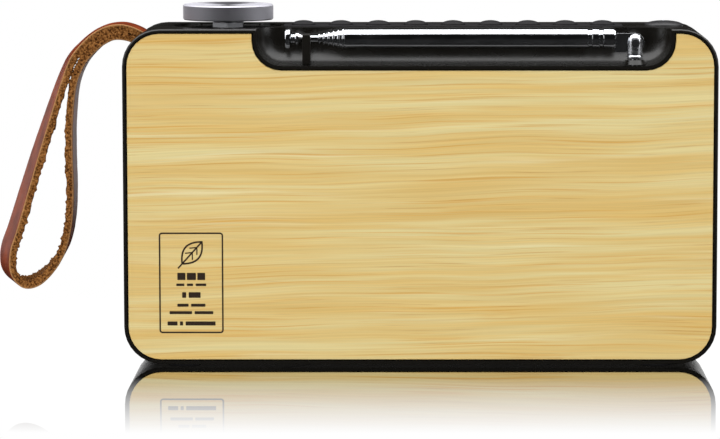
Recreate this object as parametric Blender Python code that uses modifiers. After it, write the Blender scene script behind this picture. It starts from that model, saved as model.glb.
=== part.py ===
"""Portable radio with a bamboo back, a telescopic antenna and a leather wrist strap.

Metres, +Z up. The bamboo back and the antenna face -Y and the loudspeaker faces +Y. The origin is on
the surface that the radio stands on, under the middle of its overall box, strap included.
Sizes below are in millimetres. X is measured from the middle of the case, Y from the middle of its
depth and Z from the surface under the feet.
"""
import math

import bmesh
import bpy
from mathutils import Matrix, Vector

MM = 0.001

# Case
CASE_W, CASE_H, CASE_D, CASE_R = 190.0, 107.5, 42.0, 12.0
FOOT_GAP = 0.6
BOTTOM, TOP = FOOT_GAP, FOOT_GAP + CASE_H
REAR, FRONT = -CASE_D / 2, CASE_D / 2
SIDE = CASE_W / 2
SPLIT_Y = 17.0  # where the front frame meets the cabinet
CASE_SHIFT = 21.4  # the case stands this far right of the overall middle, because of the strap
WALL = 2.0
RIM = 1.1  # width of the rim that stands round each bamboo panel
GROOVE = 0.35  # dark gap between rim and panel
GAP = 0.3  # between pieces that touch

# Bamboo panels
PANEL_T = 1.8
PANEL_SUNK = 0.2

# Trough for the stowed antenna, cut into the top rear edge
TROUGH_LEFT, TROUGH_RIGHT = -52.2, 79.9
TROUGH_FLOOR = TOP - 11.7
TROUGH_BACK = REAR + 10.4
TROUGH_END_R, TROUGH_BACK_R = 8.0, 7.0

# Antenna: seven tubes, one inside the other
PIVOT = (68.5, REAR + 4.8, TOP - 4.5)
TUBE_Z = TOP - 3.3
TUBE_RADII = [3.3 - 0.366 * i for i in range(7)]
TUBE_WALL = 0.24
TUBE_BASE = 61.7  # right end of the outer tube
TUBE_TIP = -25.0  # left end of the outer tube
TUBE_STEP = 1.53  # how far each inner tube shows past the one round it
ROD_END = -39.6
TIP_R = 3.2
CLIP_X = -36.3

# Knob, keys
KNOB_X, TOP_Y = -62.2, 2.0
KNOB_R, KNOB_LOW, KNOB_HIGH = 14.6, TOP + 1.9, TOP + 6.9
DISH_R, DISH_DEEP = 17.7, 0.8
KEY_COUNT, KEY_FIRST, KEY_PITCH = 9, -37.8, 12.1
KEY_R, KEY_DOME = 3.9, 1.45
POWER_X, POWER_R, POWER_DOME = 78.8, 6.3, 1.5
STRIP_W, STRIP_D, STRIP_T, STRIP_R = 109.7, 17.0, 1.4, 4.0
STRIP_X = KEY_FIRST + KEY_PITCH * (KEY_COUNT - 1) / 2

# Strap: outlet in the top left corner, then a closed loop of one folded leather strip
STRAP_W, STRAP_T = 15.0, 2.3
MOUTH = (-90.9, 104.9)
OUT = Vector((-0.9, 0.0, 0.436)).normalized()  # the way the strap leaves its slot
STRAP_PIN = (-84.6, 101.8)
STRAP_HINGE = (-92.25, 105.55)
FLARE = 4.7  # the far edge of the loop hangs this much wider at its lowest stretch
STRAP_ROUTE = (
    (-93.6, 107.3), (-97.0, 107.8), (-101.0, 107.1), (-105.0, 104.9), (-108.6, 101.5),
    (-111.8, 97.3), (-114.4, 90.7), (-118.0, 79.6), (-121.9, 67.2), (-125.6, 54.8),
    (-129.3, 42.5), (-131.7, 35.0), (-131.6, 28.5), (-128.4, 24.6), (-123.9, 25.2),
    (-119.0, 30.0), (-115.6, 36.5), (-113.7, 45.0), (-113.1, 55.0), (-113.3, 67.0),
    (-113.1, 78.0), (-111.9, 89.0), (-109.2, 96.0), (-105.9, 100.2), (-102.5, 103.1),
    (-98.6, 104.9), (-94.5, 104.7),
)

# Front: loudspeaker opening on the right of the case middle, display on the left
GRILLE = (35.0, 52.0, 100.0, 84.0, 8.0)  # centre X, centre Z, width, height, corner radius
DISPLAY = (-52.0, 66.0, 50.0, 28.0, 3.0)
SPEAKER_R = 31.0
LEDGE = 2.5  # width of the step behind each front opening

# Fasteners and feet
SCREWS = ((-84.0, 86.0), (87.0, 84.0), (-84.0, 14.0), (84.0, 14.0))
FEET = ((-76.0, -12.0), (76.0, -12.0), (-76.0, 9.0), (76.0, 9.0))
FOOT_R = 5.0


# ---------------------------------------------------------------- tools

for old in list(bpy.data.objects):
    bpy.data.objects.remove(old)
PARTS = bpy.data.collections.new("portable_radio")
CUTTERS = bpy.data.collections.new("cutters")
for collection in (PARTS, CUTTERS):
    bpy.context.scene.collection.children.link(collection)

SMOOTH = math.radians(35)
X, Y, Z = 0, 1, 2
TURN = {X: (0, math.pi / 2, 0), Y: (math.pi / 2, 0, 0), Z: (0, 0, 0)}


def metres(point):
    return Vector(point) * MM


def empty(name, place, parent=None):
    made = bpy.data.objects.new(name, None)
    PARTS.objects.link(made)
    made["place"] = list(place)
    made.parent = parent
    made.location = metres(place) - (metres(parent["place"]) if parent else Vector())
    return made


CASE = empty("case_frame", (0, 0, 0))
CASE.location.x = CASE_SHIFT * MM


def keep(made, name, collection=PARTS):
    """Names an object and puts it in one collection."""
    made.name = made.data.name = name
    for other in list(made.users_collection):
        other.objects.unlink(made)
    collection.objects.link(made)
    made.parent = CASE
    return made


def hang(made, parent):
    """Hands a piece over to a joint's empty, without moving it."""
    made.location -= metres(parent["place"])
    made.parent = parent
    return made


def helper(made):
    """A shape that only cuts or joins others."""
    keep(made, made.name, CUTTERS)
    made.hide_render = True
    made.display_type = "WIRE"
    return made


def box(name, low, high):
    centre = [(a + b) / 2 for a, b in zip(low, high)]
    bpy.ops.mesh.primitive_cube_add(size=1, location=metres(centre))
    made = bpy.context.object
    made.scale = [(b - a) * MM for a, b in zip(low, high)]
    bpy.ops.object.transform_apply(location=False, rotation=False, scale=True)
    return keep(made, name)


def rounded(made, axis, radius, where=lambda p: True, segments=6):
    """Rounds the edges that run along one axis, with their middle in mesh space where asked."""
    mesh = bmesh.new()
    mesh.from_mesh(made.data)
    edges = []
    for edge in mesh.edges:
        start, end = (v.co for v in edge.verts)
        if abs((end - start).normalized()[axis]) > 0.99 and where((start + end) / 2):
            edges.append(edge)
    bmesh.ops.bevel(mesh, geom=edges, offset=radius * MM, segments=segments, profile=0.5, affect="EDGES")
    mesh.to_mesh(made.data)
    mesh.free()
    return made


def slab(name, centre_x, centre_z, width, height, low_y, high_y, radius, segments=6):
    """A plate that stands facing Y, with rounded corners."""
    low = (centre_x - width / 2, low_y, centre_z - height / 2)
    high = (centre_x + width / 2, high_y, centre_z + height / 2)
    return rounded(box(name, low, high), Y, radius, segments=segments)


def case_slab(name, inset, low_y, high_y, segments=8):
    """A plate with the outline of the case, or that outline moved in."""
    middle = (BOTTOM + TOP) / 2
    width, height = CASE_W - 2 * inset, CASE_H - 2 * inset
    return slab(name, 0, middle, width, height, low_y, high_y, CASE_R - inset, segments)


def rod(name, radius, axis, start, end, across, sides=24):
    """A cylinder along one axis, from start to end, with the other two coordinates in across."""
    place = list(across)
    place.insert(axis, (start + end) / 2)
    bpy.ops.mesh.primitive_cylinder_add(
        vertices=sides, radius=radius * MM, depth=(end - start) * MM,
        location=metres(place), rotation=TURN[axis],
    )
    made = bpy.context.object
    made.data.shade_smooth()
    made.data.set_sharp_from_angle(angle=SMOOTH)
    return keep(made, name)


def turned(name, profile, place, axis=Z, sides=24):
    """An outline of (radius, height) pairs, running down its outer side, turned about an axis."""
    mesh = bpy.data.meshes.new(name)
    points = [(r * MM, 0, h * MM) for r, h in profile]
    edges = [(i, i + 1) for i in range(len(points) - 1)]
    if profile[0][0] > 0:
        edges.append((len(points) - 1, 0))
    mesh.from_pydata(points, edges, [])
    made = bpy.data.objects.new(name, mesh)
    keep(made, name)
    made.location = metres(place)
    made.rotation_euler = TURN[axis]
    turn = made.modifiers.new("turn", "SCREW")
    turn.steps = turn.render_steps = sides
    turn.use_merge_vertices = True
    turn.merge_threshold = 0.00001
    turn.use_smooth_shade = True
    return made


def combine(made, others, operation="DIFFERENCE"):
    for other in others:
        helper(other)
        change = made.modifiers.new(other.name, "BOOLEAN")
        change.operation = operation
        change.object = other
        change.solver = "EXACT"
    return made


def paint(colour, roughness, metallic, *pieces):
    """One Principled material for each piece, named after it."""
    for piece in pieces:
        made = bpy.data.materials.new(piece.name)
        made.use_nodes = True
        shader = made.node_tree.nodes["Principled BSDF"]
        shader.inputs["Base Color"].default_value = (*colour, 1)
        shader.inputs["Roughness"].default_value = roughness
        shader.inputs["Metallic"].default_value = metallic
        piece.data.materials.clear()
        piece.data.materials.append(made)


BLACK = ((0.012, 0.012, 0.014), 0.42, 0)
RUBBER = ((0.035, 0.035, 0.04), 0.7, 0)
BAMBOO = ((0.70, 0.47, 0.17), 0.5, 0)
CHROME = ((0.75, 0.76, 0.78), 0.12, 1)
ALUMINIUM = ((0.42, 0.42, 0.46), 0.3, 1)
STEEL = ((0.45, 0.45, 0.46), 0.3, 1)
LEATHER = ((0.23, 0.07, 0.025), 0.55, 0)
BOARD = ((0.01, 0.12, 0.04), 0.5, 0)
CLOTH = ((0.03, 0.03, 0.032), 0.9, 0)
GLASS = ((0.01, 0.01, 0.012), 0.08, 0)
CELL = ((0.05, 0.15, 0.4), 0.5, 0)


# ---------------------------------------------------------------- cabinet

def trough(name, grow):
    """The space for the antenna: round lower ends, and one fillet round its back."""
    low = (TROUGH_LEFT - grow, REAR - 4, TROUGH_FLOOR - grow)
    high = (TROUGH_RIGHT + grow, TROUGH_BACK + grow, TOP + 4)
    made = rounded(box(name, low, high), Y, TROUGH_END_R + grow, lambda p: p.z < 0)
    back = (TROUGH_BACK + grow - REAR + 4) / 2 * MM
    top = (high[2] - low[2]) / 2 * MM
    mesh = bmesh.new()
    mesh.from_mesh(made.data)
    edges = []
    for edge in mesh.edges:
        ends = [v.co for v in edge.verts]
        at_back = all(abs(p.y - back) < 1e-6 for p in ends)
        at_top = all(abs(p.z - top) < 1e-6 for p in ends)
        if at_back and not at_top:
            edges.append(edge)
    radius = (TROUGH_BACK_R + grow) * MM
    bmesh.ops.bevel(mesh, geom=edges, offset=radius, segments=5, profile=0.5, affect="EDGES")
    mesh.to_mesh(made.data)
    mesh.free()
    return made


def strap_shape(name, thick, width, length):
    """A slot or tail along the strap's outlet, with its inner end round the strap pin."""
    reach = thick / 2
    made = box(name, (-length, -width / 2, -thick / 2), (reach, width / 2, thick / 2))
    shift = (reach - length) / 2 * MM
    made.data.transform(Matrix.Translation((shift, 0, 0)))
    rounded(made, Y, thick / 2 - 0.02, lambda p: p.x > 0, 5)
    made.location = metres((STRAP_PIN[0], 0, STRAP_PIN[1]))
    made.rotation_euler.y = math.atan2(OUT.z, -OUT.x)
    return made


REAR_WALL_FRONT = REAR + 4.5

cabinet = case_slab("cabinet", 0, REAR, SPLIT_Y - GAP)
cavity = case_slab("cavity", WALL, REAR_WALL_FRONT, SPLIT_Y + 1)
strap_block = box("strap_block", (-SIDE - 1, -10, 96), (-79.5, 10, TOP + 1))
combine(cavity, [trough("trough_jacket", WALL), strap_block])
panel_recess = case_slab("panel_recess", RIM, REAR - 1, REAR + PANEL_SUNK + PANEL_T + GAP)
combine(panel_recess, [trough("panel_notch", RIM)])
strip_recess = box(
    "strip_recess",
    (STRIP_X - STRIP_W / 2 - 0.1, TOP_Y - STRIP_D / 2 - 0.1, TOP + 0.2 - STRIP_T - GAP),
    (STRIP_X + STRIP_W / 2 + 0.1, TOP_Y + STRIP_D / 2 + 0.1, TOP + 1),
)
rounded(strip_recess, Z, STRIP_R, segments=4)
cuts = [cavity, trough("trough", 0), panel_recess, strip_recess]
cuts.append(strap_shape("strap_slot", 2 * STRAP_T + 0.9, STRAP_W + 0.8, 16))
cuts.append(rod("pin_hole", 1.3, Y, -9.2, 9.2, STRAP_PIN, 12))
cuts.append(rod("knob_dish", DISH_R, Z, TOP - DISH_DEEP, TOP + 1, (KNOB_X, TOP_Y), 48))
cuts.append(rod("encoder_hole", 3.8, Z, TOP - 4, TOP + 1, (KNOB_X, TOP_Y), 16))
cuts.append(rod("power_hole", POWER_R + 0.3, Z, TOP - 5, TOP + 1, (POWER_X, TOP_Y), 28))
cuts.append(rod("antenna_hole", 1.6, Z, TROUGH_FLOOR - 4, TROUGH_FLOOR + 1, PIVOT[:2], 14))
cuts.append(rod("retainer_space", 2.3, Z, TROUGH_FLOOR - 7, TROUGH_FLOOR - WALL, PIVOT[:2], 14))
cuts.append(rod("jack_hole", 3.2, X, SIDE - 4, SIDE + 1, (-3, 40), 18))
usb_hole = box("usb_hole", (SIDE - 4, -7.7, 24.1), (SIDE + 1, 1.7, 27.9))
cuts.append(rounded(usb_hole, X, 1.7, segments=4))
for number in range(KEY_COUNT):
    key_x = KEY_FIRST + KEY_PITCH * number
    cuts.append(rod(f"stem_hole_{number + 1}", 2.9, Z, TOP - 4, TOP + 1, (key_x, TOP_Y), 12))
for number, (foot_x, foot_y) in enumerate(FEET):
    cuts.append(rod(f"foot_hole_{number + 1}", FOOT_R + 0.3, Z, -1, BOTTOM + 1.2, (foot_x, foot_y), 24))
for number, (screw_x, screw_z) in enumerate(SCREWS):
    cuts.append(rod(f"screw_hole_{number + 1}", 1.6, Y, REAR, REAR + 6, (screw_x, screw_z), 12))
combine(cabinet, cuts)

back_panel = case_slab("bamboo_back_panel", RIM + GROOVE, REAR + PANEL_SUNK, REAR + PANEL_SUNK + PANEL_T)
combine(back_panel, [trough("panel_cut", RIM + GROOVE)])

paint(*BLACK, cabinet)
paint(*BAMBOO, back_panel)


# ---------------------------------------------------------------- front

def opening(name, spec, inset, low_y, high_y):
    centre_x, centre_z, width, height, radius = spec
    corner = max(radius - inset, 1.0)
    return slab(
        name, centre_x, centre_z, width - 2 * inset, height - 2 * inset, low_y, high_y, corner, 4,
    )


front_frame = case_slab("front_frame", 0, SPLIT_Y, FRONT)
front_step = FRONT - PANEL_SUNK - PANEL_T - GAP
front_cuts = [
    case_slab("front_recess", RIM, front_step, FRONT + 1),
    opening("speaker_opening", GRILLE, LEDGE, SPLIT_Y - 1, FRONT + 1),
    opening("display_opening", DISPLAY, LEDGE, SPLIT_Y - 1, FRONT + 1),
    rod("dish_end", DISH_R, Z, TOP - DISH_DEEP, TOP + 1, (KNOB_X, TOP_Y), 48),
]
bosses = []
for number, (screw_x, screw_z) in enumerate(SCREWS):
    place = (screw_x, screw_z)
    bosses.append(rod(f"boss_{number + 1}", 3.4, Y, REAR_WALL_FRONT + GAP, SPLIT_Y + 0.5, place, 14))
    hole = rod(f"boss_hole_{number + 1}", 1.45, Y, REAR_WALL_FRONT - 1, SPLIT_Y + 1, place, 12)
    front_cuts.append(hole)
combine(front_frame, bosses, "UNION")
combine(front_frame, front_cuts)

panel_face = FRONT - PANEL_SUNK
front_panel = case_slab("bamboo_front_panel", RIM + GROOVE, panel_face - PANEL_T, panel_face)
combine(front_panel, [
    opening("grille_hole", GRILLE, 0, SPLIT_Y, FRONT + 1),
    opening("window_hole", DISPLAY, 0, SPLIT_Y, FRONT + 1),
])
grille = opening("speaker_grille", GRILLE, GAP, front_step + GAP, FRONT - PANEL_SUNK)
window = opening("display_window", DISPLAY, GAP, front_step + GAP, FRONT - PANEL_SUNK)
display = box("display_module", (-74, 12.5, 55), (-30, SPLIT_Y + GAP, 77))

paint(*BLACK, front_frame, display)
paint(*BAMBOO, front_panel)
paint(*CLOTH, grille)
paint(*GLASS, window)


# ---------------------------------------------------------------- loudspeaker

SPEAKER_X, SPEAKER_Z = GRILLE[0], GRILLE[1]
SPEAKER_FACE = SPLIT_Y - GAP


def behind_face(profile):
    """Turns (radius, depth behind the mounting face) pairs into heights along Y."""
    return [(radius, -depth) for radius, depth in profile]


def speaker_piece(name, profile, sides):
    """Turned pieces of the loudspeaker share its axis, which runs along Y."""
    made = turned(name, behind_face(profile), (SPEAKER_X, SPEAKER_FACE, SPEAKER_Z), Y, sides)
    made.rotation_euler = (-math.pi / 2, 0, 0)
    return made


basket = speaker_piece("speaker_basket", [
    (SPEAKER_R, 0), (SPEAKER_R, 1.5), (27, 3), (19, 11.5), (6, 11.5),
    (6, 10), (18, 10), (25, 2), (26.5, 0),
], 28)
cone = speaker_piece("speaker_cone", [
    (0, 5.4), (7.5, 7.2), (24.3, 0.8), (24.3, 1.6), (7.5, 8.4), (0, 6.6),
], 24)
magnet = speaker_piece("speaker_magnet", [(0, 12), (17, 12), (17, 20), (0, 20)], 24)
paint(*STEEL, basket, magnet)
paint(*CLOTH, cone)


# ---------------------------------------------------------------- boards and battery inside

main_board = box("main_board", (-78, 9.4, 20), (-22, 11.0, 82))
key_board = box("key_board", (-46, -5, 98.4), (88, 8, 100.0))
cells = []
for number, cell_z in enumerate((30.0, 50.0)):
    cells.append(rod(f"battery_cell_{number + 1}", 9.1, X, -82, -17, (-3.2, cell_z), 20))
bracket = box("battery_bracket", (-80, -15.8, 19), (-19, 6.8, 61))
combine(bracket, [box("bracket_space", (-81, -12.9, 19.9), (-18, 8, 60.1))])
usb_port = box("usb_port", (SIDE - 9, -7.4, 24.4), (SIDE - 0.3, 1.4, 27.6))
rounded(usb_port, X, 1.5, segments=4)
usb_mouth = box("usb_mouth", (SIDE - 7, -6.9, 24.9), (SIDE + 1, 0.9, 27.1))
combine(usb_port, [rounded(usb_mouth, X, 1.0, segments=3)])
jack = turned("headphone_jack", [(2.9, 0), (2.9, -9), (1.8, -9), (1.8, 0)], (SIDE - 0.2, -3, 40), X, 18)
port_board = box("port_board", (SIDE - 12.5, -12, 20), (SIDE - 11, 6, 46))
paint(*BOARD, main_board, key_board, port_board)
paint(*CELL, *cells)
paint(*BLACK, bracket, jack)
paint(*STEEL, usb_port)


# ---------------------------------------------------------------- knob

knob_axle = empty("knob_axle", (KNOB_X, TOP_Y, 0), CASE)
knob = turned("volume_knob", [
    (0, KNOB_HIGH), (KNOB_R - 0.5, KNOB_HIGH), (KNOB_R, KNOB_HIGH - 0.5), (KNOB_R, KNOB_LOW + 0.4),
    (KNOB_R - 0.4, KNOB_LOW), (3.1, KNOB_LOW), (3.1, KNOB_HIGH - 1.8), (0, KNOB_HIGH - 1.8),
], (KNOB_X, TOP_Y, 0), sides=48)
shaft = turned("encoder_shaft", [(0, KNOB_HIGH - 2.1), (3.0, KNOB_HIGH - 2.1), (3.0, TOP - 9), (0, TOP - 9)],
               (KNOB_X, TOP_Y, 0), sides=16)
hang(knob, knob_axle)
hang(shaft, knob_axle)
encoder = box("encoder_body", (KNOB_X - 6, TOP_Y - 6, TOP - 11), (KNOB_X + 6, TOP_Y + 6, TOP - 4.4))
combine(encoder, [rod("encoder_bush", 3.5, Z, TOP - 5, TOP + 1.2, (KNOB_X, TOP_Y), 16)], "UNION")
combine(encoder, [rod("encoder_bore", 3.25, Z, TOP - 9.5, TOP + 2, (KNOB_X, TOP_Y), 16)])
nut = rod("encoder_nut", 5.6, Z, TOP - 0.5, TOP + 1.0, (KNOB_X, TOP_Y), 6)
combine(nut, [rod("nut_bore", 3.8, Z, TOP - 2, TOP + 2, (KNOB_X, TOP_Y), 16)])
paint(*ALUMINIUM, knob)
paint(*STEEL, shaft, encoder, nut)


# ---------------------------------------------------------------- keys

strip_top = TOP + 0.2
key_strip = box(
    "key_strip",
    (STRIP_X - STRIP_W / 2, TOP_Y - STRIP_D / 2, strip_top - STRIP_T),
    (STRIP_X + STRIP_W / 2, TOP_Y + STRIP_D / 2, strip_top),
)
rounded(key_strip, Z, STRIP_R - 0.1, segments=4)


def key(name, place_x, radius, dome, low, stem, bottom, sides):
    """A domed key on a stem. It drops straight down when pressed."""
    arc = [(radius * math.sin(a), low + dome * math.cos(a)) for a in (0, 0.45, 0.9, 1.3)]
    profile = arc + [(radius, low), (radius, low - 0.7), (stem, low - 0.7), (stem, bottom), (0, bottom)]
    return turned(name, profile, (place_x, TOP_Y, 0), sides=sides)


keys = []
key_holes = []
for number in range(KEY_COUNT):
    key_x = KEY_FIRST + KEY_PITCH * number
    keys.append(key(f"key_{number + 1}", key_x, KEY_R, KEY_DOME, strip_top, 2.5, 101.0, 16))
    key_holes.append(rod(f"key_hole_{number + 1}", KEY_R + 0.3, Z, TOP - 3, TOP + 1, (key_x, TOP_Y), 16))
combine(key_strip, key_holes)
power_key = key("power_key", POWER_X, POWER_R, POWER_DOME, TOP + 0.1, 2.5, 101.0, 28)
paint(*RUBBER, key_strip, *keys)
paint(*BLACK, power_key)


# ---------------------------------------------------------------- antenna

turn_axle = empty("antenna_turn", PIVOT, CASE)
fold_axle = empty("antenna_fold", PIVOT, turn_axle)
fold_axle.location = (0, 0, 0)
PIVOT_X, PIVOT_Y, PIVOT_Z = PIVOT
FOOT_TOP = TROUGH_FLOOR + 1.7
BULLET_R, SLOT_T = 2.6, 2.2
BULLET_TOP = PIVOT_Z + 3.1

foot = turned("antenna_foot", [
    (2.9, FOOT_TOP), (3.9, FOOT_TOP - 1.4), (3.9, TROUGH_FLOOR - 1),
    (1.75, TROUGH_FLOOR - 1), (1.75, FOOT_TOP),
], (PIVOT_X, PIVOT_Y, 0), sides=20)

dome = [
    (BULLET_R * math.sin(a), BULLET_TOP - BULLET_R + BULLET_R * math.cos(a))
    for a in (0, 0.4, 0.8, 1.2, math.pi / 2)
]
knuckle = turned("antenna_knuckle", dome + [
    (BULLET_R, FOOT_TOP + 1.9), (2.25, FOOT_TOP + 1.6), (2.7, FOOT_TOP + 1.1), (2.7, FOOT_TOP + 0.5),
    (2.5, FOOT_TOP + 0.3), (1.2, FOOT_TOP + 0.3), (1.2, TROUGH_FLOOR - 3.6), (0, TROUGH_FLOOR - 3.6),
], (PIVOT_X, PIVOT_Y, 0), sides=24)
combine(knuckle, [
    box(
        "knuckle_slot",
        (PIVOT_X - 5, PIVOT_Y - SLOT_T / 2, PIVOT_Z - 3.6),
        (PIVOT_X + 5, PIVOT_Y + SLOT_T / 2, TOP + 2),
    ),
    rod("knuckle_bore", 1.15, Y, PIVOT_Y - 6, PIVOT_Y + 6, (PIVOT_X, PIVOT_Z), 14),
])
retainer = turned("antenna_retainer", [
    (2.05, TROUGH_FLOOR - 2.3), (2.05, TROUGH_FLOOR - 3.1),
    (1.35, TROUGH_FLOOR - 3.1), (1.35, TROUGH_FLOOR - 2.3),
], (PIVOT_X, PIVOT_Y, 0), sides=14)
screw_head = PIVOT_Y - BULLET_R
pivot_screw = rod("pivot_screw", 0.95, Y, screw_head - 0.3, PIVOT_Y + BULLET_R, (PIVOT_X, PIVOT_Z), 14)
head = rod("pivot_screw_head", 1.35, Y, screw_head - 0.5, screw_head - 0.1, (PIVOT_X, PIVOT_Z), 14)
combine(pivot_screw, [head], "UNION")

tongue_t = SLOT_T - 0.5
TONGUE_R = 3.0
tongue = box(
    "antenna_tongue",
    (TUBE_BASE + 0.3, PIVOT_Y - tongue_t / 2, PIVOT_Z - TONGUE_R),
    (PIVOT_X + TONGUE_R, PIVOT_Y + tongue_t / 2, PIVOT_Z + TONGUE_R),
)
rounded(tongue, Y, TONGUE_R - 0.02, lambda p: p.x > 0, 6)
plug_r = TUBE_RADII[0] - TUBE_WALL - 0.1
plug = rod("tongue_plug", plug_r, X, TUBE_BASE - 1.6, TUBE_BASE + 0.5, (PIVOT_Y, TUBE_Z), 20)
combine(tongue, [plug], "UNION")
combine(tongue, [rod("tongue_bore", 1.25, Y, PIVOT_Y - 3, PIVOT_Y + 3, (PIVOT_X, PIVOT_Z), 14)])

tubes = []
INNER_BASE = TUBE_BASE - 2.0
for number, radius in enumerate(TUBE_RADII):
    inside = radius - TUBE_WALL
    if number == 0:
        base, end = TUBE_BASE, TUBE_TIP
        outline = [(radius, base)]
        for ring in (4.0, 7.6):
            outline += [
                (radius, base - ring + 0.6), (radius - 0.25, base - ring), (radius, base - ring - 0.6),
            ]
        outline += [(radius, end), (inside, end), (inside, base)]
    elif number < 6:
        base, end = INNER_BASE, TUBE_TIP - TUBE_STEP * number
        outline = [(radius, base), (radius, end), (inside, end), (inside, base)]
    else:
        base, end = INNER_BASE, ROD_END
        neck = [(radius, end + 1.4), (2.0, end + 0.4), (2.0, end), (TIP_R, end - 0.2), (TIP_R, end - 3.3)]
        outline = [(0, base), (radius, base)] + neck + [(TIP_R - 0.4, end - 3.7), (0, end - 3.7)]
    profile = [(r, place - TUBE_BASE) for r, place in outline]
    sides = 24 if number == 0 else 16
    made = turned(f"antenna_tube_{number + 1}", profile, (TUBE_BASE, PIVOT_Y, TUBE_Z), X, sides)
    tubes.append(hang(made, fold_axle))
for piece in (knuckle, retainer, pivot_screw):
    hang(piece, turn_axle)
hang(tongue, fold_axle)

clip_low = (CLIP_X - 1.3, PIVOT_Y - 3.4, TROUGH_FLOOR + 0.3)
clip = box("antenna_clip", clip_low, (CLIP_X + 1.3, PIVOT_Y + 3.4, TUBE_Z + 1.5))
gap_low = (CLIP_X - 3, PIVOT_Y - 1.9, TUBE_Z - 1.9)
clip_gap = box("clip_gap", gap_low, (CLIP_X + 3, PIVOT_Y + 1.9, TUBE_Z + 4))
combine(clip, [rounded(clip_gap, X, 1.5, lambda p: p.z < 0, 3)])
combine(clip, [trough("clip_space", -GAP)], "INTERSECT")
combine(foot, [trough("foot_space", -GAP)], "INTERSECT")

paint(*BLACK, foot, clip)
paint(*CHROME, knuckle, tongue, *tubes)
paint(*STEEL, retainer, pivot_screw)


# ---------------------------------------------------------------- strap

def smooth_route(points, steps):
    """A curve through every point, with its tangent at each from the points on either side."""
    ends = [2 * points[0] - points[1]] + points + [2 * points[-1] - points[-2]]
    curve = []
    for i in range(1, len(ends) - 2):
        a, b, c, d = ends[i - 1 : i + 3]
        for step in range(steps):
            t = step / steps
            curve.append(
                0.5 * (
                    2 * b + (c - a) * t + (2 * a - 5 * b + 4 * c - d) * t**2
                    + (3 * b - a - 3 * c + d) * t**3
                )
            )
    return curve + [points[-1]]


def flare(share):
    """How far the loop's far edge stands out, at this share of the way round."""
    widest = 0.44
    reach = 0.46 if share < widest else 0.2
    t = min(abs(share - widest) / reach, 1.0)
    return FLARE * math.cos(t * math.pi / 2) ** 2


def strap_loop():
    """One leather strip, laid out as an open ribbon and given its thickness by Solidify."""
    route = smooth_route([Vector((x, 0, z)) for x, z in STRAP_ROUTE], 2)
    hinge = Vector((STRAP_HINGE[0], 0, STRAP_HINGE[1]))
    mesh = bmesh.new()
    near = [mesh.verts.new((p - hinge + Vector((0, -STRAP_W / 2, 0))) * MM) for p in route]
    edges = [mesh.edges.new(pair) for pair in zip(near, near[1:])]
    far = bmesh.ops.extrude_edge_only(mesh, edges=edges)["geom"]
    moved = [v for v in far if isinstance(v, bmesh.types.BMVert)]
    for vertex in moved:
        nearest = min(range(len(route)), key=lambda i: (near[i].co - vertex.co).length)
        vertex.co += Vector((-flare(nearest / (len(route) - 1)), STRAP_W, 0)) * MM
    made = bpy.data.objects.new("strap_loop", bpy.data.meshes.new("strap_loop"))
    mesh.to_mesh(made.data)
    mesh.free()
    keep(made, "strap_loop")
    made.location = metres(hinge)
    thicken = made.modifiers.new("thickness", "SOLIDIFY")
    thicken.thickness = STRAP_T * MM
    thicken.offset = 0
    return made


strap = strap_loop()
to_mouth = math.dist(STRAP_PIN, MOUTH)
tail = strap_shape("strap_tail", 2 * STRAP_T + 0.3, STRAP_W, to_mouth)
combine(tail, [rod("tail_bore", 1.35, Y, -9, 9, STRAP_PIN, 12)])
strap_pin = rod("strap_pin", 1.05, Y, -8.9, 8.9, STRAP_PIN, 12)
paint(*LEATHER, strap, tail)
paint(*STEEL, strap_pin)


# ---------------------------------------------------------------- feet and case screws

feet = []
for number, (foot_x, foot_y) in enumerate(FEET):
    feet.append(turned(
        f"rubber_foot_{number + 1}",
        [(0, BOTTOM + 0.9), (FOOT_R, BOTTOM + 0.9), (FOOT_R, 0.3), (FOOT_R - 0.3, 0), (0, 0)],
        (foot_x, foot_y, 0), sides=24,
    ))
screws = []
for number, (screw_x, screw_z) in enumerate(SCREWS):
    place = (screw_x, screw_z)
    screw = rod(f"case_screw_{number + 1}", 1.25, Y, REAR + 3.0, 12, place, 12)
    screws.append(screw)
paint(*RUBBER, *feet)
paint(*STEEL, *screws)
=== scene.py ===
"""Portable radio with a bamboo back and a leather wrist strap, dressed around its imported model.

The rear panel and the antenna face -Y. Sizes are in metres, most of them written as millimetres * MM.
"""

import math

import bpy
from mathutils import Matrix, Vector, noise


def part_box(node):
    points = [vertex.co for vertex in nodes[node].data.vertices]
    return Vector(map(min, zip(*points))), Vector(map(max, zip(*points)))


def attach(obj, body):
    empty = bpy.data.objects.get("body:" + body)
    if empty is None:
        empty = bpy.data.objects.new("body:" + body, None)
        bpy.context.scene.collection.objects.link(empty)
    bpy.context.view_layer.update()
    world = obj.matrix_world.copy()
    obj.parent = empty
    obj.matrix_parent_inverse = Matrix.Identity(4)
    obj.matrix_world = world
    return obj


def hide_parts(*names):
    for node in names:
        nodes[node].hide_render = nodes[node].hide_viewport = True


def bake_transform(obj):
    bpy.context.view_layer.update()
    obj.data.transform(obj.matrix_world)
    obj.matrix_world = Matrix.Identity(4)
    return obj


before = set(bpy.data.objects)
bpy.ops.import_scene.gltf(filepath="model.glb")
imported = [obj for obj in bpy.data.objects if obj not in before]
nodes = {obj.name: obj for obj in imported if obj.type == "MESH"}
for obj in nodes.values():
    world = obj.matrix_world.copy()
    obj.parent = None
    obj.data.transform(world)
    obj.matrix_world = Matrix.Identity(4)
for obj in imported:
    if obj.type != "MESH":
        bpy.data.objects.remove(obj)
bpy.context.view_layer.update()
MM = 0.001

case_low, case_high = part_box("cabinet")
mid_x = (case_low.x + case_high.x) / 2
rear_y, front_y = case_low.y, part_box("front_frame")[1].y


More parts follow.
